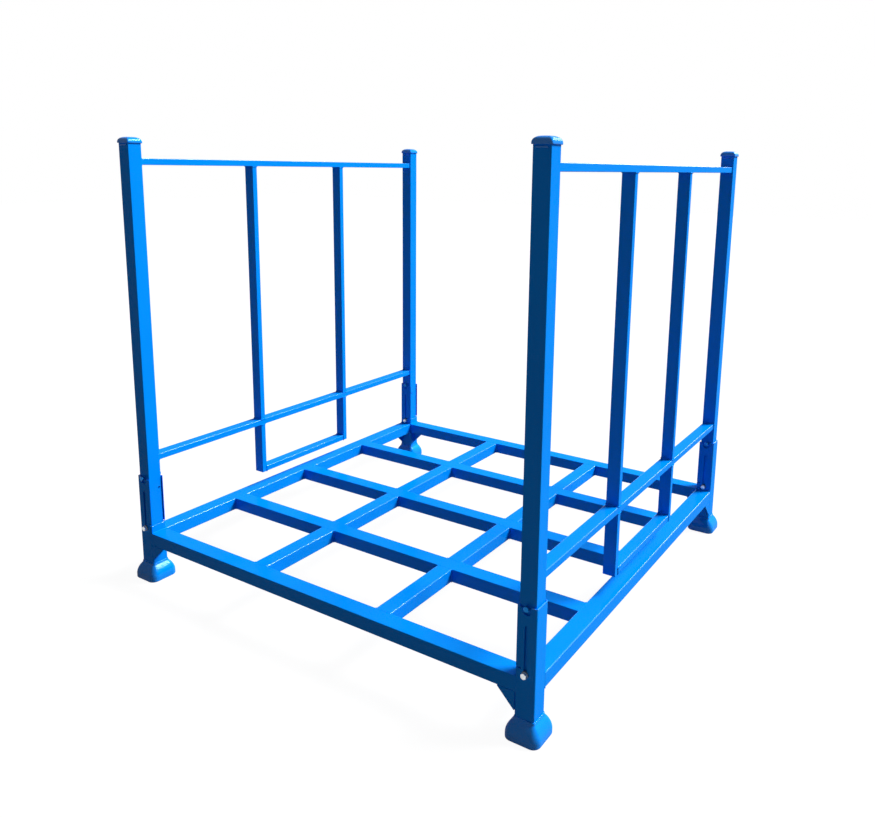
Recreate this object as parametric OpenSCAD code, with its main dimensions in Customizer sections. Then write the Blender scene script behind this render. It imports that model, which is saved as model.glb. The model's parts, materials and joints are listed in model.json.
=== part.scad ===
// Folding stacking rack for pallets: a welded deck on four corner sockets with bell feet,
// and two end frames whose posts stand in the sockets, lift on a pivot bolt and fold over the deck.

/* [Overall] */
// Distance between the post centre lines across the width, mm
width_c = 1000; // [800:10:1400]
// Distance between the post centre lines along the depth, mm
depth_c = 980; // [800:10:1400]
// Height over the caps, mm
rack_h = 1005; // [800:5:1600]

/* [Sockets] */
// Outer width of the square socket tube, mm
socket_w = 38.4; // [30:0.2:60]
// Wall of the socket tube, mm
socket_t = 2; // [1.5:0.1:4]
// Height of the socket top above the floor, mm
socket_top = 248; // [200:1:320]
// Height of the lip that is left of the inward wall, mm
lip_top = 132; // [120:1:150]
// Length of the saw cut that runs into each side wall at the lip, mm
slit_len = 11; // [0:1:14]
// Width of the slot that the pivot bolt rides in, mm
slot_w = 6.2; // [5:0.1:12]
// Highest bolt centre in the slot, mm
slot_end = 210; // [160:1:230]
// Width of the open notch for the lock pin, mm
notch_w = 17; // [10:0.5:22]
// Depth of the notch below the socket top, mm
notch_d = 16; // [8:0.5:24]

/* [Feet] */
// Half width of the bell foot at its rim, mm
foot_half = 34.2; // [24:0.1:45]
// Height of the neck where the foot meets the socket, mm
foot_h = 38.5; // [25:0.5:60]

/* [Deck] */
// Height of the deck surface above the floor, mm
deck_top = 114; // [100:1:160]
// Height of the deck tubes, mm
deck_h = 29; // [20:1:60]
// Width of the runners, mm
runner_w = 36; // [20:1:60]
// Wall of the deck tubes, mm
deck_t = 2; // [1.5:0.1:4]
// Leg of the corner gussets, mm
gusset_leg = 35; // [20:1:80]
// Thickness of the gussets, mm
gusset_t = 5; // [3:0.5:8]

/* [End frames] */
// Width of the square posts, mm
post_w = 32; // [25:0.5:50]
// Wall of the posts, mm
post_t = 2; // [1.5:0.1:4]
// Width of the rails and uprights across the frame, mm
rail_w = 27; // [15:0.5:40]
// Thickness of the rails and uprights, mm
rail_h = 14; // [10:0.5:40]
// Underside of the top rail in the left and in the right frame, mm
top_rail_z = [946.7, 952.2]; // [700:0.1:960]
// Underside of the lower rail in the left and in the right frame, mm
low_rail_z = [281.5, 286]; // [260:0.5:500]
// Underside of the bottom bar, mm
bar_z = 150.5; // [140:0.5:200]
// Distance of each upright from the middle of the frame, mm
upright_y = 158; // [100:1:300]
// Half width of the pressed caps, mm
cap_half = 18.5; // [17:0.1:25]
// Height of a cap above the post, mm
cap_h = 13; // [8:0.5:25]

/* [Pivots and locks] */
// Height of the pivot bolt, mm
bolt_z = 124; // [110:1:150]
// Diameter of the pivot bolt, mm
bolt_d = 6; // [5:0.5:10]
// Height of the lock pin, mm
pin_z = 244.7; // [230:0.1:260]
// Diameter of the lock pin between its shoulders, mm
pin_d = 7.5; // [5:0.5:10]
// Diameter of the pin ends, mm
pin_head_d = 10; // [8:0.5:16]

/* [Hidden] */
$fn = 16;
corner_fn = 16;
cut = 0.5;
xc = width_c / 2;
yc = depth_c / 2;
socket_half = socket_w / 2;
channel = socket_w - 2 * socket_t;
post_half = post_w / 2;
deck_z = deck_top - deck_h / 2;
deck_bottom = deck_top - deck_h;
deck_w = socket_w;
cross_y = depth_c / 4;
runner_x = width_c / 6;
tube_r = 1.5;
rail_r = 1;
post_top = rack_h - cap_h;
rail_span = depth_c - post_w;
left = -1;
right = 1;
front = -1;
back = 1;
// How far below the socket top the inward horn of the notch lies, at the notch and at the free edge
ramp_left = [6.6, 4.4];
ramp_right = [6.0, 1.1];
// The small jig hole in the inward wall of each post
jig_d = 4.5;
jig_y = 9.5;
jig_z = 218;
// Washers, bolt heads and nuts
washer_t = 1.4;
hex_r = 5.77;
hex_h = 6;
powder_blue = "#0b6fe0";
zinc = "#b9bec2";

// Outline of a tube with true corner arcs
module rounded_rect(w, d, r) {
    square([w - 2 * r, d], center = true);
    square([w, d - 2 * r], center = true);
    for (x = [-1, 1], y = [-1, 1])
        translate([x * (w / 2 - r), y * (d / 2 - r)])
            circle(r = r, $fn = corner_fn);
}

module tube_profile(w, d, r, t) {
    difference() {
        rounded_rect(w, d, r);
        rounded_rect(w - 2 * t, d - 2 * t, max(r - t, 0.5));
    }
}

// Tubes along X, Y and Z, each centred across its section
module tube_x(len, depth, height, r, t) {
    rotate([90, 0, 90])
        linear_extrude(height = len, center = true)
            tube_profile(depth, height, r, t);
}

module tube_y(len, width, height, r, t) {
    rotate([90, 0, 0])
        linear_extrude(height = len, center = true)
            tube_profile(width, height, r, t);
}

module tube_z(len, width, depth, r, t) {
    linear_extrude(height = len)
        tube_profile(width, depth, r, t);
}

// Solid with a square plan whose corners are turned: half_profile lists [half width, z] upwards,
// core is the half width of the square that the corners turn about
module bell(half_profile, core) {
    low = half_profile[0][1];
    high = half_profile[len(half_profile) - 1][1];
    turned = concat([[0, low]], [for (p = half_profile) [max(p[0] - core, 0.01), p[1]]], [[0, high]]);
    outline = concat([for (p = half_profile) p],
                     [for (i = [len(half_profile) - 1 : -1 : 0]) [-half_profile[i][0], half_profile[i][1]]]);
    for (x = [-core, core], y = [-core, core])
        translate([x, y, 0])
            rotate_extrude()
                polygon(turned);
    for (a = [0, 90])
        rotate([0, 0, a])
            rotate([90, 0, 0])
                linear_extrude(height = 2 * core, center = true)
                    polygon(outline);
}

// Corner socket: a tube that is open towards the deck above its lip
module socket(sx, sy, ramp) {
    inward = -sx;
    color(powder_blue)
    translate([sx * xc, sy * yc, 0])
    difference() {
        translate([0, 0, foot_h])
            tube_z(socket_top - foot_h, socket_w, socket_w, 3, socket_t);
        // the inward wall, cut out between the side walls, whose rounded corners stay
        translate([inward * (channel / 2 + 3), 0, (lip_top + socket_top + 1) / 2])
            cube([10, channel, socket_top + 1 - lip_top], center = true);
        // the saw cuts at the lip
        translate([inward * (socket_half - slit_len / 2 + 1), 0, lip_top + 1.2])
            cube([slit_len + 2, socket_w + 2, 2.4], center = true);
        // the slot of the pivot bolt, through both side walls
        translate([0, 0, bolt_z])
            rotate([90, 0, 0])
                cylinder(d = slot_w, h = socket_w + 2, center = true);
        translate([0, 0, slot_end])
            rotate([90, 0, 0])
                cylinder(d = slot_w, h = socket_w + 2, center = true);
        translate([0, 0, (bolt_z + slot_end) / 2])
            cube([slot_w, socket_w + 2, slot_end - bolt_z], center = true);
        // the notch of the lock pin, open at the top
        translate([0, 0, socket_top - notch_d + notch_w / 2])
            rotate([90, 0, 0])
                cylinder(d = notch_w, h = socket_w + 2, center = true);
        translate([0, 0, socket_top])
            cube([notch_w, socket_w + 2, 2 * (notch_d - notch_w / 2)], center = true);
        // the sloping horn that lets the pin swing out
        rotate([90, 0, 0])
            linear_extrude(height = socket_w + 2, center = true)
                polygon([
                    [inward * 4, socket_top - ramp[0]],
                    [inward * channel / 2, socket_top - ramp[1]],
                    [inward * (socket_half + 2), socket_top - ramp[1]],
                    [inward * (socket_half + 2), socket_top + 2],
                    [inward * 4, socket_top + 2]
                ]);
    }
}

// Bell foot: flares from the socket and is hollow, so that it drops over the cap of a rack below
module foot(sx, sy) {
    top = foot_h;
    skin = [
        [foot_half - 1.4, 0],
        [foot_half, 2.4],
        [foot_half, 9],
        [foot_half - 0.7, 15],
        [foot_half - 1.8, 19.3],
        [foot_half - 3.4, 23.1],
        [foot_half - 5.7, 26.8],
        [foot_half - 8.6, 30.3],
        [foot_half - 12.6, top - 3.6],
        [socket_half + 1.6, top - 1.6],
        [socket_half + 1.1, top - 0.5],
        [socket_half, top]
    ];
    hollow = [
        [foot_half - 3.6, -cut],
        [foot_half - 3.6, 9],
        [foot_half - 4.6, 15],
        [foot_half - 6.8, 20.5],
        [foot_half - 10, 25],
        [foot_half - 12.2, 27.5]
    ];
    color(powder_blue)
    translate([sx * xc, sy * yc, 0])
    difference() {
        bell(skin, 19);
        bell(hollow, 19);
    }
}

// Gusset outline in the corner between a beam (towards +x) and the socket (towards -y)
module gusset_plate(direction) {
    linear_extrude(height = gusset_t, center = true)
        polygon([
            [0, 0],
            [direction * gusset_leg, 0],
            [direction * gusset_leg, -1.5],
            [direction * 1.5, -gusset_leg],
            [0, -gusset_leg]
        ]);
}

// Two plates a corner: one under the front or back beam, one under the left or right beam
module gussets(sx, sy) {
    along_x = sy == front ? sy * (yc + socket_half - gusset_t / 2) : sy * yc;
    along_y = sy == back ? sx * (xc + socket_half - gusset_t / 2) : sx * xc;
    color(powder_blue) {
        translate([sx * (xc - socket_half), along_x, deck_bottom])
            rotate([90, 0, 0])
                gusset_plate(-sx);
        translate([along_y, sy * (yc - socket_half), deck_bottom])
            rotate([90, 0, 90])
                gusset_plate(-sy);
    }
}

module beam_along_x(y) {
    color(powder_blue)
        translate([0, y, deck_z])
            tube_x(width_c - socket_w, deck_w, deck_h, tube_r, deck_t);
}

module beam_along_y(x) {
    color(powder_blue)
        translate([x, 0, deck_z])
            tube_y(depth_c - socket_w, deck_w, deck_h, tube_r, deck_t);
}

// Runner segment number i (0 to 3) between two neighbouring cross members
module runner(sx, i) {
    pitch = depth_c / 4;
    color(powder_blue)
        translate([sx * runner_x, -yc + (i + 0.5) * pitch, deck_z])
            tube_y(pitch - deck_w, runner_w, deck_h, tube_r, deck_t);
}

// Post of an end frame, rounded about the pivot bolt at its lower end
module post(sx, sy) {
    color(powder_blue)
    translate([sx * xc, sy * yc, 0])
    difference() {
        intersection() {
            translate([0, 0, bolt_z - post_half])
                tube_z(post_top - bolt_z + post_half, post_w, post_w, tube_r, post_t);
            union() {
                translate([0, 0, (bolt_z + post_top) / 2])
                    cube([post_w + 2, post_w + 2, post_top - bolt_z], center = true);
                translate([0, 0, bolt_z])
                    rotate([90, 0, 0])
                        cylinder(r = post_half, h = post_w + 2, center = true, $fn = 24);
            }
        }
        translate([0, 0, bolt_z])
            rotate([90, 0, 0])
                cylinder(d = bolt_d + 0.1, h = post_w + 2, center = true);
        translate([0, 0, pin_z])
            rotate([90, 0, 0])
                cylinder(d = pin_d, h = post_w + 2, center = true);
        // the small jig hole in the inward wall
        translate([-sx * post_half, -sy * jig_y, jig_z])
            rotate([0, 90, 0])
                cylinder(d = jig_d, h = 2 * post_t + 1, center = true);
    }
}

// Pressed cap: a plug inside the post under a pillow dome whose edge overhangs the post
module cap(sx, sy) {
    edge = 2.2;
    steps = [0 : 9 : 81];
    rise = (cap_h - edge) / sin(81);
    side = concat([[cap_half - 0.6, 0], [cap_half, 0.7]],
                  [for (a = steps) [cap_half * pow(cos(a), 0.84), edge + rise * sin(a)]]);
    last = len(side) - 1;
    outline = concat(side, [for (i = [last : -1 : 0]) [-side[i][0], side[i][1]]]);
    color(powder_blue)
    translate([sx * xc, sy * yc, post_top]) {
        intersection() {
            rotate([90, 0, 0])
                linear_extrude(height = 2 * cap_half + 2, center = true)
                    polygon(outline);
            rotate([90, 0, 90])
                linear_extrude(height = 2 * cap_half + 2, center = true)
                    polygon(outline);
            linear_extrude(height = cap_h)
                rounded_rect(2 * cap_half, 2 * cap_half, 3);
        }
        translate([0, 0, -8])
            linear_extrude(height = 8.5)
                rounded_rect(post_w - 2 * post_t - 0.6, post_w - 2 * post_t - 0.6, 1);
    }
}

// The left or the right value of a pair
function of_side(pair, sx) = sx == left ? pair[0] : pair[1];

module rail(sx, z) {
    color(powder_blue)
        translate([sx * xc, 0, z + rail_h / 2])
            tube_y(rail_span, rail_w, rail_h, rail_r, 1.5);
}

module upright(sx, sy) {
    z = of_side(low_rail_z, sx) + rail_h;
    color(powder_blue)
        translate([sx * xc, sy * upright_y, z])
            tube_z(of_side(top_rail_z, sx) - z, rail_w, rail_h, rail_r, 1.5);
}

module stub(sx, sy) {
    color(powder_blue)
        translate([sx * xc, sy * upright_y, bar_z])
            tube_z(of_side(low_rail_z, sx) - bar_z, rail_w, rail_h, rail_r, 1.5);
}

module bottom_bar(sx) {
    color(powder_blue)
        translate([sx * xc, 0, bar_z + rail_h / 2])
            tube_y(2 * upright_y - rail_h, rail_w, rail_h, rail_r, 1.5);
}

// Lock pins: a shank through each post and a shouldered end outside each socket wall
module lock_pins(sx) {
    shoulder = socket_half + 0.4;
    reach = 5.6;
    color(powder_blue)
    for (sy = [front, back])
        translate([sx * xc, sy * yc, pin_z]) {
            rotate([90, 0, 0])
                cylinder(d = pin_d, h = 2 * shoulder, center = true);
            for (side = [-1, 1])
                translate([0, side * shoulder, 0])
                    rotate([-side * 90, 0, 0]) {
                        cylinder(d = pin_head_d, h = reach - 1.2);
                        translate([0, 0, reach - 1.2])
                            cylinder(d1 = pin_head_d, d2 = pin_head_d - 2.4, h = 1.2);
                    }
        }
}

// Pivot bolts with their heads on the outer side of each socket
module pivot_bolts(sx) {
    seat = socket_half + 0.2;
    color(zinc)
    for (sy = [front, back])
        translate([sx * xc, sy * yc, bolt_z])
            rotate([-sy * 90, 0, 0]) {
                translate([0, 0, -seat - 9.2])
                    cylinder(d = bolt_d, h = 2 * seat + 9.2);
                translate([0, 0, seat])
                    cylinder(r = 6.6, h = washer_t);
                translate([0, 0, seat + washer_t])
                    cylinder(r = hex_r, h = hex_h, $fn = 6);
            }
}

// Nuts on the inner ends of the pivot bolts
module pivot_nuts(sx) {
    seat = socket_half + 0.2;
    color(zinc)
    for (sy = [front, back])
        translate([sx * xc, sy * yc, bolt_z])
            rotate([sy * 90, 0, 0])
                difference() {
                    translate([0, 0, seat]) {
                        cylinder(r = 6.6, h = washer_t);
                        translate([0, 0, washer_t])
                            cylinder(r = hex_r, h = hex_h, $fn = 6);
                    }
                    cylinder(d = bolt_d, h = seat + 10);
                }
}

socket(left, front, ramp_left);  // socket_front_left
socket(right, front, ramp_right);  // socket_front_right
socket(left, back, ramp_left);  // socket_back_left
socket(right, back, ramp_right);  // socket_back_right
foot(left, front);  // foot_front_left
foot(right, front);  // foot_front_right
foot(left, back);  // foot_back_left
foot(right, back);  // foot_back_right
gussets(left, front);  // gussets_front_left
gussets(right, front);  // gussets_front_right
gussets(left, back);  // gussets_back_left
gussets(right, back);  // gussets_back_right
beam_along_x(-yc);  // deck_beam_front
beam_along_x(yc);  // deck_beam_back
beam_along_y(-xc);  // deck_beam_left
beam_along_y(xc);  // deck_beam_right
beam_along_x(-cross_y);  // cross_beam_front
beam_along_x(0);  // cross_beam_middle
beam_along_x(cross_y);  // cross_beam_back
runner(left, 0);  // runner_left_1
runner(left, 1);  // runner_left_2
runner(left, 2);  // runner_left_3
runner(left, 3);  // runner_left_4
runner(right, 0);  // runner_right_1
runner(right, 1);  // runner_right_2
runner(right, 2);  // runner_right_3
runner(right, 3);  // runner_right_4
post(left, front);  // left_post_front
post(left, back);  // left_post_back
cap(left, front);  // left_cap_front
cap(left, back);  // left_cap_back
rail(left, top_rail_z[0]);  // left_top_rail
rail(left, low_rail_z[0]);  // left_lower_rail
upright(left, front);  // left_upright_front
upright(left, back);  // left_upright_back
stub(left, front);  // left_stub_front
stub(left, back);  // left_stub_back
bottom_bar(left);  // left_bottom_bar
lock_pins(left);  // left_lock_pins
pivot_bolts(left);  // left_pivot_bolts
pivot_nuts(left);  // left_pivot_nuts
post(right, front);  // right_post_front
post(right, back);  // right_post_back
cap(right, front);  // right_cap_front
cap(right, back);  // right_cap_back
rail(right, top_rail_z[1]);  // right_top_rail
rail(right, low_rail_z[1]);  // right_lower_rail
upright(right, front);  // right_upright_front
upright(right, back);  // right_upright_back
stub(right, front);  // right_stub_front
stub(right, back);  // right_stub_back
bottom_bar(right);  // right_bottom_bar
lock_pins(right);  // right_lock_pins
pivot_bolts(right);  // right_pivot_bolts
pivot_nuts(right);  // right_pivot_nuts
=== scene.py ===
"""Looks of the folding stacking rack: powder-coated steel tubes, weld beads, zinc bolts, light and camera."""

import json
import logging
import math
from dataclasses import dataclass, field
from enum import Enum
from typing import Any, Iterable, Sequence

import bmesh
import bpy
import numpy as np
from mathutils import Matrix, Vector

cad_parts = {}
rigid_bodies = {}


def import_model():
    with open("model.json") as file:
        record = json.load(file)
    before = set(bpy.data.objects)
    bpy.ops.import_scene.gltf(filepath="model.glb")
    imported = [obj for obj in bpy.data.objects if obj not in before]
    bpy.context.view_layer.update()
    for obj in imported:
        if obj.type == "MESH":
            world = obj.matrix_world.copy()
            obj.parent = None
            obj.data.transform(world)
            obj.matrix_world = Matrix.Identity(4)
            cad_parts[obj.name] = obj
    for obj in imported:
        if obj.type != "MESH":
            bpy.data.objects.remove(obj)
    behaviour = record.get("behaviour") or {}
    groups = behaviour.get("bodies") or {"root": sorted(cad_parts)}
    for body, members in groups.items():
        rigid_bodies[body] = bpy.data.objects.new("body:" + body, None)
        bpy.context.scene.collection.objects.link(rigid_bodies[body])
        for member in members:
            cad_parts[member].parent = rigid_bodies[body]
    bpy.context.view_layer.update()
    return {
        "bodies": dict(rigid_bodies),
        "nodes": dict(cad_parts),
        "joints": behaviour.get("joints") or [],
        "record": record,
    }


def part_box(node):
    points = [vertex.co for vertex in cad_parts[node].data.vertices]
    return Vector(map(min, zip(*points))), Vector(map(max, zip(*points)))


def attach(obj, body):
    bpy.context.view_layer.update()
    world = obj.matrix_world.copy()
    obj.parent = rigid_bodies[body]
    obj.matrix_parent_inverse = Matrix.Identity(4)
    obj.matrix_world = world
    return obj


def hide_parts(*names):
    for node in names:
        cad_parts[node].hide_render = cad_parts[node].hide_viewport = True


LOG = logging.getLogger("rack")
PICTURE_SIZE = (875, 818)
MM = 0.001

Array = np.ndarray
Point = tuple[float, float, float]


# Shader building


class Signal:
    """A shader socket on which arithmetic adds Math nodes."""

    def __init__(self, shader: "Shader", socket: Any) -> None:
        """Wraps one output socket of a shader."""
        self.shader = shader
        self.socket = socket

    def _math(self, operation: str, *values: Any, clamp: bool = False) -> "Signal":
        """Adds one Math node.

        Args:
            operation: the node's operation.
            values: its inputs, signals or numbers.
            clamp: whether the result is held between 0 and 1.

        Returns:
            The result as a signal.
        """
        settings = {"operation": operation, "use_clamp": clamp}
        node = self.shader.node("ShaderNodeMath", settings, dict(enumerate(values)))
        return Signal(self.shader, node.outputs[0])

    def __add__(self, other: Any) -> "Signal":
        """Sum."""
        return self._math("ADD", self, other)

    __radd__ = __add__

    def __sub__(self, other: Any) -> "Signal":
        """Difference."""
        return self._math("SUBTRACT", self, other)

    def __mul__(self, other: Any) -> "Signal":
        """Product."""
        return self._math("MULTIPLY", self, other)

    def lit_or(self, other: "Signal") -> "Signal":
        """Sum held at 1, which joins two masks."""
        return self._math("ADD", self, other, clamp=True)

    def ramp(self, low: float, high: float) -> "Signal":
        """Rises in a smooth step from 0 at low to 1 at high.

        Args:
            low: value at which the result is 0.
            high: value at which the result is 1.

        Returns:
            The eased result.
        """
        node = self.shader.node(
            "ShaderNodeMapRange",
            {"interpolation_type": "SMOOTHSTEP"},
            {"Value": self, "From Min": low, "From Max": high},
        )
        return Signal(self.shader, node.outputs["Result"])


class Shader:
    """One material or world and the way its nodes are made."""

    def __init__(self, tree: Any) -> None:
        """Empties a node tree and keeps it."""
        self.tree = tree
        tree.nodes.clear()

    @classmethod
    def material(cls, name: str) -> tuple["Shader", Any]:
        """Makes an empty material.

        Args:
            name: the material's name.

        Returns:
            The shader and the material.
        """
        made = bpy.data.materials.new(name)
        made.use_nodes = True
        return cls(made.node_tree), made

    def node(self, kind: str, settings: dict[str, Any] | None = None, inputs: dict[Any, Any] | None = None) -> Any:
        """Makes any node.

        Args:
            kind: the node's type name.
            settings: properties that are set first.
            inputs: values or links for its sockets, by name or number.

        Returns:
            The node.
        """
        made = self.tree.nodes.new(kind)
        for name, value in (settings or {}).items():
            setattr(made, name, value)
        for name, value in (inputs or {}).items():
            if isinstance(value, Signal):
                self.tree.links.new(value.socket, made.inputs[name])
            elif isinstance(value, bpy.types.NodeSocket):
                self.tree.links.new(value, made.inputs[name])
            else:
                made.inputs[name].default_value = value
        return made

    def place(self) -> Any:
        """The point on the piece, in metres of the rack's frame."""
        return self.node("ShaderNodeTexCoord").outputs["Object"]

    def seen(self) -> Signal:
        """Whether a ray comes from the camera, from a mirror or through glass, as 1 or 0."""
        path = self.node("ShaderNodeLightPath")
        kinds = ("Camera", "Glossy", "Transmission")
        camera, mirror, glass = (Signal(self, path.outputs[f"Is {kind} Ray"]) for kind in kinds)
        return camera.lit_or(mirror).lit_or(glass)

    def noise(self, scale: float, detail: float, roughness: float = 0.5) -> Signal:
        """Soft noise over the piece.

        Args:
            scale: patches a metre.
            detail: octaves.
            roughness: weight of the finer octaves.

        Returns:
            The noise, about 0.5 in the middle.
        """
        node = self.node(
            "ShaderNodeTexNoise",
            {"noise_dimensions": "3D"},
            {"Vector": self.place(), "Scale": scale, "Detail": detail, "Roughness": roughness},
        )
        return Signal(self, node.outputs["Fac"])

    def mix_colour(self, share: Signal, low: Point, high: Point) -> Any:
        """Mixes two colours.

        Args:
            share: how much of the second.
            low: first colour.
            high: second colour.

        Returns:
            The colour socket.
        """
        inputs = {0: share, 6: (*low, 1.0), 7: (*high, 1.0)}
        return self.node("ShaderNodeMix", {"data_type": "RGBA"}, inputs).outputs[2]

    def bump(self, height: Signal, distance: float, strength: float) -> Any:
        """Turns a height signal into a normal.

        Args:
            height: the height signal.
            distance: metres for a height of one.
            strength: how much of it counts.

        Returns:
            The normal socket.
        """
        inputs = {"Height": height, "Distance": distance, "Strength": strength}
        return self.node("ShaderNodeBump", None, inputs).outputs["Normal"]

    def surface(self, **sockets: Any) -> None:
        """Ends the tree in a Principled surface with these sockets, spaces written as underscores."""
        node = self.node("ShaderNodeBsdfPrincipled", None, {k.replace("_", " "): v for k, v in sockets.items()})
        self.node("ShaderNodeOutputMaterial", None, {"Surface": node.outputs["BSDF"]})


# Finishes


class Slot(Enum):
    """The record's material slots."""

    POWDER = "blue_powder_coat"
    ZINC = "zinc"


@dataclass(frozen=True)
class PowderCoat:
    """Blue powder coat over steel: a level blue with slight clouds, a faint orange peel and a thin clear skin."""

    name: str
    coat: float
    coat_roughness: float
    colour: Point = (0.0001, 0.275, 0.965)
    deep: Point = (0.0001, 0.258, 0.93)
    flake: float = 0.06
    flake_tint: Point = (0.02, 0.35, 1.0)
    roughness: float = 0.36
    roughness_swing: float = 0.08
    cloud_scale: float = 7.0
    cloud_span: tuple[float, float] = (0.35, 0.72)
    peel_scale: float = 520.0
    peel_depth: float = 0.00012
    peel_strength: float = 0.25

    def make(self) -> Any:
        """Builds the material."""
        shader, made = Shader.material(self.name)
        cloud = shader.noise(self.cloud_scale, 4.0, 0.6)
        peel = shader.noise(self.peel_scale, 2.0, 0.4)
        shader.surface(
            Base_Color=shader.mix_colour(cloud.ramp(*self.cloud_span), self.colour, self.deep),
            Metallic=self.flake,
            Roughness=self.roughness + (cloud - 0.5) * self.roughness_swing,
            Specular_IOR_Level=0.0,
            Specular_Tint=(*self.flake_tint, 1.0),
            Normal=shader.bump(peel, self.peel_depth, self.peel_strength),
            Coat_Weight=self.coat,
            Coat_Roughness=self.coat_roughness,
        )
        return made


@dataclass(frozen=True)
class RubbedCoat:
    """Powder coat on the lock pins, rubbed thin and dull by the sockets, with bare steel in spots."""

    name: str = "powder_coat_rubbed"
    colour: Point = (0.004, 0.19, 0.56)
    bare: Point = (0.14, 0.32, 0.52)
    metallic: float = 0.5
    roughness: float = 0.34
    roughness_swing: float = 0.3
    specular: float = 0.1
    rub_scale: float = 380.0
    rub_span: tuple[float, float] = (0.55, 0.75)
    rub_depth: float = 0.0001
    rub_strength: float = 0.4

    def make(self) -> Any:
        """Builds the material."""
        shader, made = Shader.material(self.name)
        rub = shader.noise(self.rub_scale, 4.0, 0.6)
        shader.surface(
            Base_Color=shader.mix_colour(rub.ramp(*self.rub_span), self.colour, self.bare),
            Metallic=self.metallic,
            Roughness=self.roughness + (rub - 0.5) * self.roughness_swing,
            Specular_IOR_Level=self.specular,
            Normal=shader.bump(rub, self.rub_depth, self.rub_strength),
        )
        return made


@dataclass(frozen=True)
class ZincPlate:
    """Plated steel of bolts, washers and nuts: a mottled grey with a fine grain; the washers take a near-black copy
    that is painted shade round the bolt heads.
    """

    name: str = "zinc_plate"
    light: Point = (0.80, 0.83, 0.85)
    dark: Point = (0.62, 0.66, 0.69)
    metallic: float = 0.85
    roughness: float = 0.36
    roughness_swing: float = 0.2
    spot_scale: float = 420.0
    spot_span: tuple[float, float] = (0.35, 0.7)
    grain_scale: float = 2400.0
    grain_depth: float = 0.00006
    grain_strength: float = 0.5

    def make(self) -> Any:
        """Builds the material."""
        shader, made = Shader.material(self.name)
        spots = shader.noise(self.spot_scale, 4.0, 0.6)
        shader.surface(
            Base_Color=shader.mix_colour(spots.ramp(*self.spot_span), self.light, self.dark),
            Metallic=self.metallic,
            Roughness=self.roughness + (spots - 0.5) * self.roughness_swing,
            Normal=shader.bump(shader.noise(self.grain_scale, 2.0), self.grain_depth, self.grain_strength),
        )
        return made


# Studio


@dataclass(frozen=True)
class Softbox:
    """One rectangular lamp far off: where it stands as seen from the rack, how large and how bright it looks."""

    name: str
    azimuth: float
    elevation: float
    distance: float
    width: float
    height: float
    brightness: float
    aim: Point = (0.0, 0.0, 0.4)

    def make(self) -> None:
        """Builds the lamp: its power is pi times brightness times area, so that brightness is its radiance."""
        turn, rise = math.radians(self.azimuth), math.radians(self.elevation)
        towards = Vector((math.cos(rise) * math.cos(turn), math.cos(rise) * math.sin(turn), math.sin(rise)))
        lamp = bpy.data.lights.new(self.name, "AREA")
        lamp.shape = "RECTANGLE"
        lamp.size = self.width
        lamp.size_y = self.height
        lamp.energy = math.pi * self.brightness * self.width * self.height
        placed = bpy.data.objects.new(self.name, lamp)
        placed.location = Vector(self.aim) + towards * self.distance
        placed.rotation_mode = "QUATERNION"
        placed.rotation_quaternion = towards.to_track_quat("Z", "Y")
        placed.visible_camera = False
        bpy.context.scene.collection.objects.link(placed)


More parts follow.
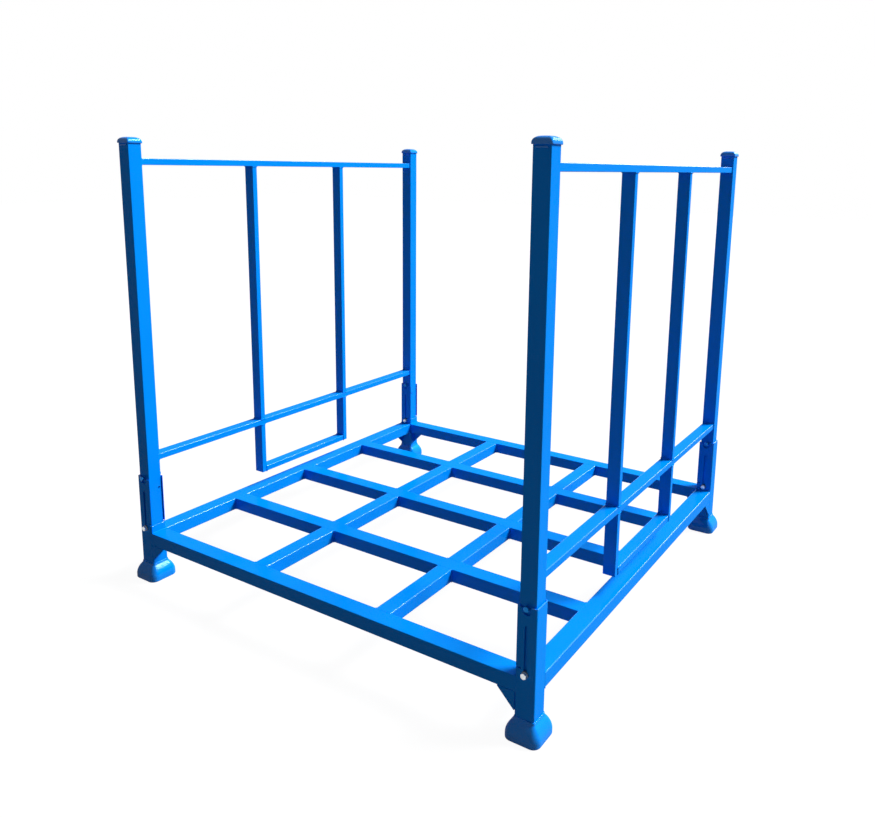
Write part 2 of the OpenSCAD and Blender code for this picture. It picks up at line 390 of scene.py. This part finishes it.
@dataclass(frozen=True)
class Studio:
    """Camera, floor, world and lamps."""

    eye: Point = (1.0780, -1.5906, 0.9600)
    right: Point = (0.84957, 0.52716, 0.01853)
    ahead: Point = (-0.51497, 0.83651, -0.18720)
    focal_px: float = 812.435
    centre_px: tuple[float, float] = (487.073, 319.997)
    sensor_mm: float = 36.0
    lamps: tuple[Softbox, ...] = (
        Softbox("key_box", 45.5, 42.0, 30.0, 12.6, 11.0, 37.6),
        Softbox("rim_box", 81.0, 23.0, 16.0, 7.6, 4.6, 7.5),
    )
    world_light: float = 0.08
    floor_half: float = 16.0
    floor_matt: float = 0.10
    floor_pale: float = 0.92
    floor_glow: float = 1.06
    glow_share: float = 0.90

    def camera(self) -> None:
        """Sets up the camera at the photograph's place, aim and framing."""
        width, height = PICTURE_SIZE
        data = bpy.data.cameras.new("camera")
        data.sensor_fit = "HORIZONTAL"
        data.sensor_width = self.sensor_mm
        data.lens = self.focal_px / width * self.sensor_mm
        data.shift_x = 0.5 - self.centre_px[0] / width
        data.shift_y = (self.centre_px[1] - height / 2) / width
        data.clip_start = 0.05
        data.clip_end = 60.0
        cam = bpy.data.objects.new("camera", data)
        right = Vector(self.right).normalized()
        back = -Vector(self.ahead).normalized()
        up = back.cross(right)
        turn = Matrix((right, up, back)).transposed().to_4x4()
        cam.matrix_world = Matrix.Translation(self.eye) @ turn
        bpy.context.scene.collection.objects.link(cam)
        bpy.context.scene.camera = cam

    def world(self) -> None:
        """White to the camera, in reflections and through glass, and a low even light on matt surfaces."""
        made = bpy.data.worlds.new("studio")
        bpy.context.scene.world = made
        made.use_nodes = True
        shader = Shader(made.node_tree)
        strength = shader.seen() * (1.0 - self.world_light) + self.world_light
        back = shader.node("ShaderNodeBackground", None, {"Color": (1.0, 1.0, 1.0, 1.0), "Strength": strength})
        shader.node("ShaderNodeOutputWorld", None, {"Surface": back.outputs[0]})

    def floor(self) -> None:
        """A plain pale floor that is white to the camera and keeps a light shadow.

        To the camera and in reflections it is mostly glow with some pale paint, which takes the shadow. To all
        other rays it is darker, so that it throws little light up on the rack.
        """
        corners = np.array([[-1.0, -1.0, 0.0], [1.0, -1.0, 0.0], [1.0, 1.0, 0.0], [-1.0, 1.0, 0.0]])
        floor = link_mesh("floor", corners * self.floor_half, [(0, 1, 2, 3)])
        shader, made = Shader.material("floor_pale")
        matt = shader.node("ShaderNodeBsdfDiffuse", None, {"Color": (*[self.floor_matt] * 3, 1.0)})
        pale = shader.node("ShaderNodeBsdfDiffuse", None, {"Color": (*[self.floor_pale] * 3, 1.0)})
        glow = shader.node("ShaderNodeEmission", None, {"Color": (1.0, 1.0, 1.0, 1.0), "Strength": self.floor_glow})
        shown = shader.node("ShaderNodeMixShader", None, {0: self.glow_share, 1: pale.outputs[0], 2: glow.outputs[0]})
        both = shader.node("ShaderNodeMixShader", None, {0: shader.seen(), 1: matt.outputs[0], 2: shown.outputs[0]})
        shader.node("ShaderNodeOutputMaterial", None, {"Surface": both.outputs[0]})
        floor.data.materials.append(made)


# Meshes


def link_mesh(name: str, points: Array, faces: Iterable[Sequence[int]]) -> Any:
    """Makes a mesh object at the origin.

    Args:
        name: the object's name.
        points: its points, one row each.
        faces: corner numbers of each face.

    Returns:
        The object.
    """
    mesh = bpy.data.meshes.new(name)
    mesh.from_pydata(points.tolist(), [], [tuple(f) for f in faces])
    mesh.validate()
    made = bpy.data.objects.new(name, mesh)
    bpy.context.scene.collection.objects.link(made)
    return made


@dataclass
class Skin:
    """Grids of points gathered into one closed mesh."""

    grids: list[Array] = field(default_factory=list)
    faces: list[Array] = field(default_factory=list)
    count: int = 0

    def add(self, grid: Array, rows_join: bool = False) -> None:
        """Adds a grid whose columns always run round and whose rows may.

        A face joins each point with its neighbours in the next row and the next column, counted round the end
        where that direction is closed.

        Args:
            grid: points as [row, column, xyz].
            rows_join: whether the last row meets the first.
        """
        rows, columns = grid.shape[:2]
        row, column = np.meshgrid(np.arange(rows if rows_join else rows - 1), np.arange(columns), indexing="ij")
        next_row, next_column = (row + 1) % rows, (column + 1) % columns
        quads = np.stack(
            [
                row * columns + column,
                row * columns + next_column,
                next_row * columns + next_column,
                next_row * columns + column,
            ],
            axis=-1,
        )
        self.grids.append(grid.reshape(-1, 3))
        self.faces.append(quads.reshape(-1, 4) + self.count)
        self.count += rows * columns

    def add_rod(self, start: Sequence[float], end: Sequence[float], radius: float, sides: int = 20) -> None:
        """Adds a straight round rod that runs along one axis, with closed ends.

        Its four rows are the start, a ring round the start, a ring round the end and the end. A ring's point is
        the end's point plus radius times the cosine and sine of the angle across the axis.

        Args:
            start: one end, mm.
            end: the other end, mm.
            radius: its radius, mm.
            sides: points in a ring.
        """
        ends = np.array([start, end], float)
        axis = int(np.argmax(np.abs(ends[1] - ends[0])))
        first, second = [k for k in range(3) if k != axis]
        around = np.linspace(0.0, 2 * np.pi, sides, endpoint=False)
        grid = np.repeat(np.repeat(ends, 2, axis=0)[:, None], sides, axis=1)
        grid[1:3, :, first] += radius * np.cos(around)
        grid[1:3, :, second] += radius * np.sin(around)
        self.add(grid)

    def add_upper_edges(self, node: str, corner: float, coat: float = 0.03, inset: float = 1.0) -> None:
        """Adds the two rounded upper edges of a tube that runs from front to back.

        Args:
            node: the tube's CAD node.
            corner: radius of the tube's corners, mm.
            coat: how far the coat stands proud of them, mm.
            inset: how far the edges stop short of the tube's ends, mm.
        """
        low, high = (np.array(point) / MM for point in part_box(node))
        z = high[2] - corner
        for x in (low[0] + corner, high[0] - corner):
            self.add_rod((x, low[1] + inset, z), (x, high[1] - inset, z), corner + coat)

    def finish(self, name: str, smooth_angle: float = 40.0) -> Any:
        """Makes the mesh: poles and seams are merged, faces turned outwards and edges above an angle kept sharp.

        Args:
            name: the object's name.
            smooth_angle: degrees up to which faces shade smoothly across an edge.

        Returns:
            The object.
        """
        made = link_mesh(name, np.concatenate(self.grids) * MM, np.concatenate(self.faces).tolist())
        work = bmesh.new()
        work.from_mesh(made.data)
        bmesh.ops.remove_doubles(work, verts=work.verts, dist=1e-6)
        bmesh.ops.recalc_face_normals(work, faces=work.faces)
        work.to_mesh(made.data)
        work.free()
        mesh = made.data
        mesh.polygons.foreach_set("use_smooth", np.ones(len(mesh.polygons), bool))
        mesh.set_sharp_from_angle(angle=math.radians(smooth_angle))
        return made


def smooth_through(points: Sequence[Sequence[float]], steps: int) -> Array:
    """A smooth line through given points.

    Between two neighbours the line is the cubic that meets both and whose slope at each is half the step from
    the point before to the point after, worked out for all steps at once.

    Args:
        points: rows of any width.
        steps: how many rows come back.

    Returns:
        The line's rows.
    """
    known = np.asarray(points, float)
    last = len(known) - 1
    where = np.linspace(0.0, last, steps)
    span = np.minimum(where.astype(int), last - 1)
    t = (where - span)[:, None]
    a, b, c, d = (known[np.clip(span + shift, 0, last)] for shift in (-1, 0, 1, 2))
    return 0.5 * (2 * b + (c - a) * t + (2 * a - 5 * b + 4 * c - d) * t**2 + (3 * b - a - 3 * c + d) * t**3)


def square_walk(corner_steps: int, side_steps: int) -> tuple[Array, Array]:
    """Walks once round a square of half width 1.

    In a corner the square's point stays and the outward direction turns by a quarter; along a side the point
    slides and the direction stays.

    Args:
        corner_steps: steps in each corner.
        side_steps: steps along each side.

    Returns:
        The square's points and the outward directions.
    """
    turn = np.linspace(0.0, np.pi / 2, corner_steps, endpoint=False)
    slide = np.linspace(1.0, -1.0, side_steps, endpoint=False)
    points = np.concatenate([np.ones((corner_steps, 2)), np.column_stack([slide, np.ones(side_steps)])])
    outward = np.concatenate(
        [np.column_stack([np.cos(turn), np.sin(turn)]), np.tile([0.0, 1.0], (side_steps, 1))]
    )
    quarter = np.array([[0.0, 1.0], [-1.0, 0.0]])
    turns = [np.linalg.matrix_power(quarter, k) for k in range(4)]
    return np.concatenate([points @ t for t in turns]), np.concatenate([outward @ t for t in turns])


def square_loft(profile: Array, corner_steps: int, side_steps: int) -> Array:
    """A loft over square rings with turned corners.

    Each row of the profile gives half width, height and corner radius; a ring's point is the square's point
    times (half width minus radius) plus the outward direction times the radius.

    Args:
        profile: rows of half width, height and corner radius, from one pole to the other.
        corner_steps: steps in each corner.
        side_steps: steps along each side.

    Returns:
        The grid of points.
    """
    square, outward = square_walk(corner_steps, side_steps)
    half, height, radius = (profile[:, k][:, None, None] for k in range(3))
    plan = square[None] * (half - radius) + outward[None] * radius
    return np.concatenate([plan, np.broadcast_to(height, plan.shape[:2] + (1,))], axis=2)


# Pieces


@dataclass
class Workshop:
    """The frame, the finishes and the way that pieces are fitted to both."""

    frame: dict[str, Any]
    finishes: dict[str, Any]

    def fit(self, piece: Any, finish: str, body: str, replaced: Sequence[str] = ()) -> None:
        """Dresses a new piece and lets it ride.

        Args:
            piece: the object.
            finish: name of its finish.
            body: the body that it rides on.
            replaced: CAD nodes that it stands for.
        """
        piece.data.materials.clear()
        piece.data.materials.append(self.finishes[finish])
        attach(piece, body)
        if replaced:
            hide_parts(*replaced)
        LOG.info("%s rides on %s in %s", piece.name, body, finish)

    def dress(self, name: str, finish: str) -> None:
        """Gives a CAD node its finish."""
        node = self.frame["nodes"][name]
        for material_slot in node.material_slots:
            material_slot.material = self.finishes[finish]
        LOG.info("%s wears %s", name, finish)

    def members(self, body: str) -> list[str]:
        """The CAD nodes of a body."""
        return list(self.frame["record"]["behaviour"]["bodies"][body])


@dataclass
class BellFoot:
    """Pressed bell foot: a flat band, a quick shoulder, a collar round the tube, and a hollow that takes a cap."""

    node: str
    centre: tuple[float, float]
    skin: tuple[Point, ...] = (
        (32.7, 0.0, 13.7),
        (33.4, 0.25, 14.4),
        (34.0, 1.1, 15.0),
        (34.2, 2.4, 15.2),
        (34.2, 5.5, 15.2),
        (34.2, 9.0, 15.2),
        (33.9, 12.5, 14.9),
        (33.2, 15.8, 14.3),
        (32.0, 19.4, 13.3),
        (30.3, 23.0, 11.9),
        (28.2, 26.6, 10.2),
        (25.6, 30.2, 8.0),
        (22.8, 33.5, 5.9),
        (21.5, 35.1, 4.9),
        (21.1, 36.0, 4.6),
        (21.0, 36.8, 4.5),
        (20.7, 37.7, 4.3),
        (20.1, 38.3, 3.8),
        (19.3, 38.5, 3.2),
    )
    hollow: tuple[Point, ...] = (
        (20.0, 26.3, 5.0),
        (22.0, 26.0, 7.0),
        (24.2, 24.8, 8.2),
        (27.4, 20.5, 9.6),
        (29.6, 15.0, 11.0),
        (30.6, 9.0, 11.6),
        (30.6, 2.0, 11.6),
        (31.2, 0.3, 12.2),
        (32.0, 0.0, 13.0),
    )
    roof: float = 26.3
    crown: float = 38.5
    widest: float = 34.19
    steps: tuple[int, int] = (36, 84)

    def build(self, shop: Workshop) -> None:
        """Builds the foot from its roof inside, down the hollow, round the rim and up to the tube."""
        path = np.concatenate(
            [
                [[0.0, self.roof, 0.0]],
                smooth_through(self.hollow, self.steps[0]),
                smooth_through(self.skin, self.steps[1]),
                [[0.0, self.crown, 0.0]],
            ]
        )
        path[:, 0] = path[:, 0].clip(0.0, self.widest)
        grid = square_loft(path, 12, 8)
        grid[..., :2] += self.centre
        skin = Skin()
        skin.add(grid)
        shop.fit(skin.finish("bell_" + self.node), "gloss", "base", [self.node])


@dataclass
class PressedCap:
    """Pressed cap: a pillow dome with crisp hips over a short skirt that overhangs the post."""

    node: str
    body: str
    centre: tuple[float, float]
    seat: float
    height: float = 13.0
    half: float = 18.5
    corner: float = 3.0
    edge: float = 2.4
    boxiness: float = 0.6
    rows: int = 34
    skirt: tuple[Point, ...] = ((0.0, 0.0, 0.0), (17.6, 0.0, 2.4), (18.2, 0.15, 2.8), (18.5, 0.7, 3.0))

    def profile(self) -> Array:
        """Rows of half width, height and corner radius.

        Over the skirt the half width is the cap's times the cosine of an angle to the power of the boxiness and
        the height rises with its sine, so that the dome starts upright and flattens towards its top.
        """
        angle = np.linspace(0.0, np.pi / 2, self.rows)
        half = self.half * np.cos(angle).clip(0.0) ** self.boxiness
        dome = np.column_stack(
            [half, self.edge + (self.height - self.edge) * np.sin(angle), np.minimum(half, self.corner)]
        )
        return np.concatenate([self.skirt, dome])

    def build(self, shop: Workshop) -> None:
        """Builds the cap on its post."""
        grid = square_loft(self.profile(), 7, 14)
        grid[..., :2] += self.centre
        grid[..., 2] += self.seat
        skin = Skin()
        skin.add(grid)
        made = skin.finish("pillow_" + self.node, 50.0)
        shop.fit(made, "cap", self.body, [self.node])


@dataclass(frozen=True)
class WeldBead:
    """A hand-laid weld bead: its thickness, how deep it sits in the corner, its ripples, and how level it ends."""

    radius: float = 1.5
    lift: float = 0.45
    pitch: float = 2.3
    ripple: float = 0.11
    wander: float = 0.045
    waves: tuple[int, int, int] = (3, 7, 12)
    lag: float = 1.6
    step: float = 0.6
    sides: int = 8
    level_swell: float = 0.35
    level_calm: float = 0.6
    level_sink: tuple[float, float] = (1.5, 0.9)

    def sweep(self, path: Array, outward: Array, along: Array, seed: int, flush: Array | None = None) -> Array:
        """Carries a rippled round along a closed path.

        A point is the path's point, plus lift times (outward + along), plus radius times (cosine of v outward and
        sine of v along). The radius swells with a cosine of the way gone over the pitch, set back towards the
        middle of the bead so that the ripples are crescents, and wanders slowly by three long waves. Where the
        tube and the plate are level, the bead lies sunk between them and is nearly smooth.

        Args:
            path: points of the corner line.
            outward: unit directions away from the tube.
            along: unit direction away from the plate.
            seed: number that sets the wandering.
            flush: which points lie on a side that is level with the plate's.

        Returns:
            The grid of points.
        """
        steps = np.linalg.norm(np.roll(path, -1, axis=0) - path, axis=1)
        total = steps.sum()
        way = np.concatenate([[0.0], np.cumsum(steps)[:-1]])[:, None]
        v = np.linspace(0.0, 2 * np.pi, self.sides, endpoint=False)[None]
        count = max(round(total / self.pitch), 3)
        turns = 2 * np.pi * way / total
        phase = np.random.default_rng(seed).uniform(0.0, 2 * np.pi, 3)
        wander = sum(np.cos(turns * wave + start) for wave, start in zip(self.waves, phase)) * self.wander
        crescent = np.cos(turns * count - self.lag * np.cos(v - np.pi / 4))
        level = np.zeros((len(path), 1)) if flush is None else flush[:, None].astype(float)
        uneven = (self.ripple * crescent + wander) * (1 - self.level_calm * level)
        radius = (self.radius + self.level_swell * level) * (1 + uneven)
        side = radius[..., None] * (np.cos(v)[..., None] * outward[:, None] + np.sin(v)[..., None] * along)
        out, off = (self.lift * (1 - level) - sink * level for sink in self.level_sink)
        return (path + out * outward + off * along)[:, None] + side


@dataclass(frozen=True)
class Joint:
    """Where the end of a tube is welded to a plate: its node, its axis, which end, and the axis of its level sides."""

    node: str
    axis: int
    end: int
    level: int | None = None

    def outline(self, corner: float, step: float, corner_steps: int = 3) -> tuple[Array, Array, Array, Array]:
        """The closed line round the tube's end.

        Args:
            corner: radius of the tube's corners, mm.
            step: rough distance between points, mm.
            corner_steps: points in each corner.

        Returns:
            Points, outward directions, the direction from the plate along the tube, and which points are on
            level sides.
        """
        low, high = (np.array(corner_point) / MM for corner_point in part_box(self.node))
        middle, half = (low + high) / 2, (high - low) / 2
        first, second = [k for k in range(3) if k != self.axis]
        side_steps = max(int(round((half[first] + half[second]) / step)), 8)
        square, outward = square_walk(corner_steps, side_steps)
        sizes = np.array([half[first], half[second]]) - corner
        points = np.zeros((len(square), 3))
        normals = np.zeros_like(points)
        points[:, [first, second]] = square * sizes + outward * corner + middle[[first, second]]
        points[:, self.axis] = high[self.axis] if self.end > 0 else low[self.axis]
        normals[:, [first, second]] = outward
        along = np.zeros(3)
        along[self.axis] = -self.end
        on_level = np.zeros(len(points), bool) if self.level is None else np.abs(normals[:, self.level]) > 0.7
        return points, normals, along, on_level


@dataclass
class Weldment:
    """All weld beads of one body, made as one piece."""

    name: str
    body: str
    joints: list[Joint]
    corner: float
    bead: WeldBead

    def build(self, shop: Workshop) -> None:
        """Lays a bead round every joint."""
        skin = Skin()
        for number, joint in enumerate(self.joints):
            path, outward, along, level = joint.outline(self.corner, self.bead.step)
            skin.add(self.bead.sweep(path, outward, along, number, level), rows_join=True)
        shop.fit(skin.finish(self.name, 80.0), "powder", self.body)


@dataclass
class Hexagon:
    """Bolts, washers and nuts of one side, turned about the pivot axis."""

    side: str
    centre_x: float
    half_depth: float
    height: float
    seat: float = 19.4
    washer: tuple[float, float] = (6.6, 1.4)
    flats: float = 5.0
    head: float = 6.0
    shank: float = 3.0
    chamfer: float = 0.55
    ease: float = 0.2
    beyond: float = 9.0
    head_rim: Point = (5.5, 5.1, 4.6)
    nut_rim: tuple[float, float] = (5.45, 4.9)
    sides: int = 72
    thread_length: float = 10.6
    thread_depth: float = 0.16
    thread_sides: int = 48
    thread_rows: int = 64

    def hex_limit(self, around: Array) -> Array:
        """Distance from the axis to the hexagon: half its flats over the cosine of the angle from the nearest flat."""
        nearest = (around + np.pi / 6) % (np.pi / 3) - np.pi / 6
        return self.flats / np.cos(nearest)

    def turned(self, profile: Sequence[tuple[float, float]], hexed: bool, end: int, flip: int) -> Array:
        """Turns a profile about a bolt's axis.

        Args:
            profile: distances from the axis and places along it, outwards from the rack's middle.
            hexed: whether the distance is limited by the hexagon.
            end: -1 for the front corner and 1 for the back one.
            flip: 1 for the outer side of the socket and -1 for the inner one.

        Returns:
            The grid of points.
        """
        around = np.linspace(0.0, 2 * np.pi, self.sides, endpoint=False)[None]
        limit, place = (np.array(column)[:, None] for column in zip(*profile))
        round_limit = np.broadcast_to(limit, (len(limit), self.sides))
        distance = np.minimum(limit, self.hex_limit(around)) if hexed else round_limit
        return self.about_axis(distance, around, end * self.half_depth + end * flip * place)

    def about_axis(self, distance: Array, around: Array, along: Array) -> Array:
        """Points at a distance and an angle from the bolt's axis, and at a place along it.

        Args:
            distance: distances from the axis, mm.
            around: angles.
            along: places on the axis, mm.

        Returns:
            The grid of points.
        """
        x = self.centre_x + distance * np.cos(around)
        z = self.height + distance * np.sin(around)
        return np.stack([x, np.broadcast_to(along, distance.shape), z], axis=-1)

    def threads(self, end: int, start: float = -1.6, point: tuple[float, float] = (1.2, 2.3)) -> Array:
        """The threaded tip: its radius dips by a cosine of the way along less the angle, one turn a millimetre.

        Args:
            end: -1 for the front corner and 1 for the back one.
            start: where the threads begin, mm from the socket's wall.
            point: slope and last radius of the pointed tip.

        Returns:
            The grid of points.
        """
        around = np.linspace(0.0, 2 * np.pi, self.thread_sides, endpoint=False)[None]
        way = np.linspace(0.0, self.thread_length, self.thread_rows)[:, None]
        radius = self.shank - self.thread_depth * (1 + np.cos(2 * np.pi * way - around))
        radius = np.minimum(radius, (self.thread_length - way) * point[0] + point[1])
        closing = np.zeros((1, self.thread_sides))
        radius = np.concatenate([closing, radius, closing])
        place = np.concatenate([way[:1], way, way[-1:]]) + self.seat + start
        return self.about_axis(radius, around, end * self.half_depth - end * place)

    def build(self, shop: Workshop) -> None:
        """Builds the bolts with their washers, and the nuts with theirs."""
        disc, thick = self.washer
        face = self.seat + thick
        top = face + self.head
        cut, ease, bore, seat, full = self.chamfer, self.ease, self.shank, self.seat, self.beyond
        washer = [(bore, seat), (disc, seat), (disc, face - ease), (disc - ease, face), (bore, face)]
        wide, mid, flat = self.head_rim
        head = [(0.0, face), (full, face), (full, top - 2 * cut), (wide, top - cut)]
        head += [(mid, top - ease), (flat, top), (0.0, top)]
        wide, flat = self.nut_rim
        nut = [(bore, face), (flat, face), (wide, face + cut), (full, face + 2 * cut)]
        nut += [(full, top - 2 * cut), (wide, top - cut), (flat, top), (bore, top)]
        shank = [(0.0, -seat), (bore, -seat), (bore, seat), (0.0, seat)]
        bolts, nuts, washers = Skin(), Skin(), Skin()
        for end in (-1, 1):
            washers.add(self.turned(washer, False, end, 1), rows_join=True)
            bolts.add(self.turned(head, True, end, 1))
            bolts.add(self.turned(shank, False, end, 1))
            bolts.add(self.threads(end))
            washers.add(self.turned(washer, False, end, -1), rows_join=True)
            nuts.add(self.turned(nut, True, end, -1), rows_join=True)
        body = f"{self.side}_pivot"
        bolt_node, nut_node = f"{self.side}_pivot_bolts", f"{self.side}_pivot_nuts"
        shop.fit(bolts.finish(f"{self.side}_hex_bolts", 28.0), "zinc", body, [bolt_node])
        shop.fit(nuts.finish(f"{self.side}_hex_nuts", 28.0), "zinc", body, [nut_node])
        # The washers wear near-black zinc: painted shade that stands for the shadow round the bolt heads.
        shop.fit(washers.finish(f"{self.side}_washers", 28.0), "dull", body)


@dataclass
class EndFrame:
    """One folding end frame: its caps, weld beads and pivot hardware."""

    side: str
    sign: int
    post_x: float = 500.0
    post_y: float = 490.0
    post_half: float = 16.0
    bolt_z: float = 124.0
    rails: tuple[str, ...] = ("top_rail", "lower_rail", "bottom_bar")
    rail_corner: float = 1.0
    cap_bead: tuple[float, float, float] = (11.0, 2.1, 988.2)
    cap_bead_sink: float = 0.8
    hole: tuple[float, float] = (9.5, 218.0)
    burr: tuple[float, float] = (2.5, 0.4)

    def joints(self) -> list[Joint]:
        """The welded ends of rails, uprights, stubs and bottom bar."""
        found = []
        for rail in self.rails:
            found += [Joint(f"{self.side}_{rail}", 1, end) for end in (-1, 1)]
        for place in ("front", "back"):
            found += [Joint(f"{self.side}_upright_{place}", 2, end) for end in (-1, 1)]
            found.append(Joint(f"{self.side}_stub_{place}", 2, 1))
        return found

    def beads(self, shop: Workshop) -> None:
        """Builds the short beads under the caps, and the burr rings round the jig holes.

        A ring's point is the hole's centre plus (ring radius + burr cos v) across and burr sin v off the wall.
        """
        skin = Skin()
        half_length, radius, bead_z = self.cap_bead
        hole_y, hole_z = self.hole
        ring_radius, burr = self.burr
        steps = (np.linspace(0.0, 2 * np.pi, count, endpoint=False) for count in (28, 8))
        around, v = np.meshgrid(*steps, indexing="ij")
        across = ring_radius + burr * np.cos(v)
        for end in (-1, 1):
            x, y = self.sign * self.post_x, end * self.post_y
            for side in (-1, 1):
                wall = y + side * (self.post_half - self.cap_bead_sink)
                skin.add_rod((x - half_length, wall, bead_z), (x + half_length, wall, bead_z), radius)
            ring_x = x - self.sign * (self.post_half + burr * np.sin(v))
            ring_y = y - end * hole_y + across * np.cos(around)
            skin.add(np.stack([ring_x, ring_y, hole_z + across * np.sin(around)], axis=-1), rows_join=True)
        shop.fit(skin.finish(f"{self.side}_cap_beads", 60.0), "cap", f"{self.side}_frame")

    def edges(self, shop: Workshop) -> None:
        """Builds the rounded upper edges of the rails and the bottom bar, on which the coat lies thick."""
        skin = Skin()
        for rail in self.rails:
            skin.add_upper_edges(f"{self.side}_{rail}", self.rail_corner)
        shop.fit(skin.finish(f"{self.side}_rail_edges"), "edge", f"{self.side}_frame")

    def build(self, shop: Workshop) -> None:
        """Builds the frame's pieces and dresses its CAD nodes."""
        body = f"{self.side}_frame"
        self.beads(shop)
        self.edges(shop)
        for name in shop.members(body):
            shop.dress(name, "rubbed" if name.endswith("lock_pins") else "powder")
        for place, end in (("front", -1), ("back", 1)):
            post_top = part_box(f"{self.side}_post_{place}")[1][2] / MM
            centre = (self.sign * self.post_x, end * self.post_y)
            PressedCap(f"{self.side}_cap_{place}", body, centre, post_top).build(shop)
        bead = WeldBead(radius=1.3, lift=0.4)
        Weldment(f"{self.side}_frame_welds", body, self.joints(), self.rail_corner, bead).build(shop)
        for name in shop.members(f"{self.side}_pivot"):
            shop.dress(name, "zinc")
        Hexagon(self.side, self.sign * self.post_x, self.post_y, self.bolt_z).build(shop)


@dataclass
class Base:
    """The deck with its sockets, gussets and bell feet."""

    post_x: float = 500.0
    post_y: float = 490.0
    tube_corner: float = 1.5
    socket_corner: float = 3.0
    socket_half: float = 19.2
    wall_middle: float = 18.3
    lip_middle: float = 18.5
    edge_half: float = 17.0
    rim_z: float = 247.3
    rim_radius: float = 1.15
    lip_z: float = 131.25
    lip_radius: float = 1.0
    side_rim: tuple[float, float, float] = (9.6, 17.6, 247.4)
    collar_z: float = 38.3

    def corners(self) -> list[tuple[int, int, float, float]]:
        """The four corners: the signs of x and y, and the socket's centre in mm."""
        return [(sx, sy, sx * self.post_x, sy * self.post_y) for sx in (-1, 1) for sy in (-1, 1)]

    def joints(self) -> list[Joint]:
        """The welded ends of deck beams, cross beams and runners."""
        members = [(f"deck_beam_{place}", 0, 1) for place in ("front", "back")]
        members += [(f"deck_beam_{side}", 1, 0) for side in ("left", "right")]
        members += [(f"cross_beam_{place}", 0, 2) for place in ("front", "middle", "back")]
        members += [(name, 1, 2) for name in self.runners()]
        return [Joint(name, axis, end, level) for name, axis, level in members for end in (-1, 1)]

    def runners(self) -> list[str]:
        """The short tubes between the cross beams."""
        return [f"runner_{side}_{number}" for side in ("left", "right") for number in range(1, 5)]

    def edges(self, shop: Workshop) -> None:
        """Builds the rounded edges on which the coat lies thick: tube corners, socket rims and lips."""
        skin = Skin()
        for name in ("deck_beam_left", "deck_beam_right", *self.runners()):
            skin.add_upper_edges(name, self.tube_corner)
        half = self.edge_half
        near, far, side_z = self.side_rim
        for sx, _, x, y in self.corners():
            rim, lip = x + sx * self.wall_middle, x - sx * self.lip_middle
            skin.add_rod((rim, y - half, self.rim_z), (rim, y + half, self.rim_z), self.rim_radius)
            skin.add_rod((lip, y - half, self.lip_z), (lip, y + half, self.lip_z), self.lip_radius)
            for wall in (y - self.wall_middle, y + self.wall_middle):
                skin.add_rod((x + sx * near, wall, side_z), (x + sx * far, wall, side_z), self.lip_radius)
        shop.fit(skin.finish("rounded_edges"), "edge", "base")

    def collars(self, shop: Workshop) -> None:
        """Builds the welded collars between the sockets and their feet."""
        square, outward = square_walk(6, 60)
        away = np.column_stack([outward, np.zeros(len(outward))])
        plan = square * (self.socket_half - self.socket_corner) + outward * self.socket_corner
        bead = WeldBead(radius=1.25, lift=0.35, ripple=0.05)
        skin = Skin()
        for sx, sy, x, y in self.corners():
            path = np.column_stack([plan + (x, y), np.full(len(plan), self.collar_z)])
            seed = 3 * sx + sy + 7
            skin.add(bead.sweep(path, away, np.array([0.0, 0.0, 1.0]), seed), rows_join=True)
        shop.fit(skin.finish("foot_collars", 80.0), "gloss", "base")

    def build(self, shop: Workshop) -> None:
        """Builds the base's pieces and dresses its CAD nodes."""
        for name in shop.members("base"):
            shop.dress(name, "powder")
        for place, end in (("front", -1), ("back", 1)):
            for side, sign in (("left", -1), ("right", 1)):
                BellFoot(f"foot_{place}_{side}", (sign * self.post_x, end * self.post_y)).build(shop)
        Weldment("deck_welds", "base", self.joints(), self.tube_corner, WeldBead()).build(shop)
        self.collars(shop)
        self.edges(shop)


def clear_scene() -> None:
    """Takes away the start-up objects."""
    for item in list(bpy.data.objects):
        bpy.data.objects.remove(item)


def main() -> None:
    """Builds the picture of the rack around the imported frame."""
    logging.basicConfig(level=logging.INFO)
    clear_scene()
    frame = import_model()
    studio = Studio()
    studio.camera()
    studio.world()
    studio.floor()
    for lamp in studio.lamps:
        lamp.make()
    finishes = {
        "powder": PowderCoat("powder_coat_tubes", 0.07, 0.14).make(),
        "gloss": PowderCoat("powder_coat_pressings", 0.24, 0.11, peel_depth=0.00006).make(),
        "cap": PowderCoat("powder_coat_caps", 0.34, 0.07, roughness=0.3, peel_depth=0.00002).make(),
        "edge": PowderCoat("powder_coat_edges", 1.0, 0.12, peel_depth=0.00002).make(),
        "rubbed": RubbedCoat().make(),
        "zinc": ZincPlate().make(),
        # Near-black zinc for the washers: painted shade for the shadow round the bolt heads, not a real dark plating.
        "dull": ZincPlate("zinc_washer_painted_shade", (0.06, 0.10, 0.15), (0.02, 0.05, 0.09), 0.6).make(),
    }
    shop = Workshop(frame, finishes)
    Base().build(shop)
    EndFrame("left", -1).build(shop)
    EndFrame("right", 1).build(shop)
    bpy.context.scene.view_settings.view_transform = "Standard"


if __name__ == "__main__":
    main()
